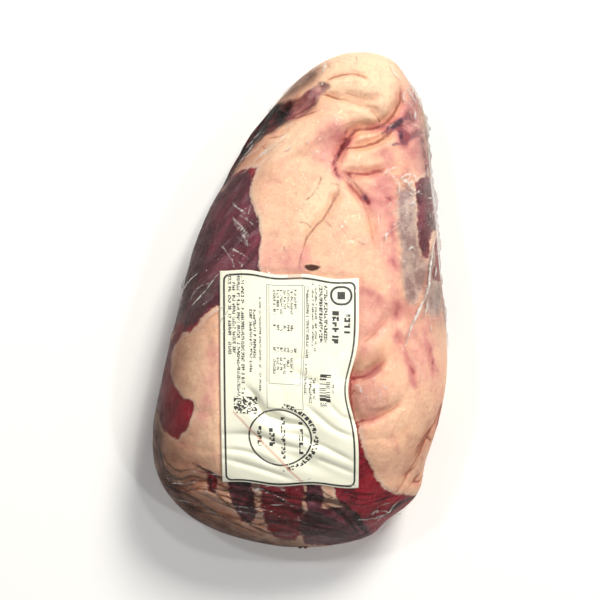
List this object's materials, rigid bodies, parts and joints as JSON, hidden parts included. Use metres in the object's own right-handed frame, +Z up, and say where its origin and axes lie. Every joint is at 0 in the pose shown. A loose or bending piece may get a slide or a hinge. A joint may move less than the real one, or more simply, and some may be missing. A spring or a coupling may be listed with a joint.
{
  "type": "vacuum-packed raw beef shank",
  "caption": "Boneless raw beef shank, pale fat over dark red muscle, in a tight clear bag with a paper label under the film, lying on its flat underside.",
  "frame": {"origin": "on the floor, under the middle of the form", "axes": "+Y towards the narrow end, +Z up through the labelled side, +X to the right of a viewer who looks down with the narrow end away"},
  "size_m": [0.2104, 0.357, 0.1099],
  "materials": {
    "bagged_meat": "raw fat and muscle under a clear shrunk film, wet and glossy with fine wrinkles",
    "label_paper": "cream paper with black print under clear film"
  },
  "bodies": {
    "root": {"shank": "bagged_meat", "label": "label_paper"}
  },
  "joints": []
}
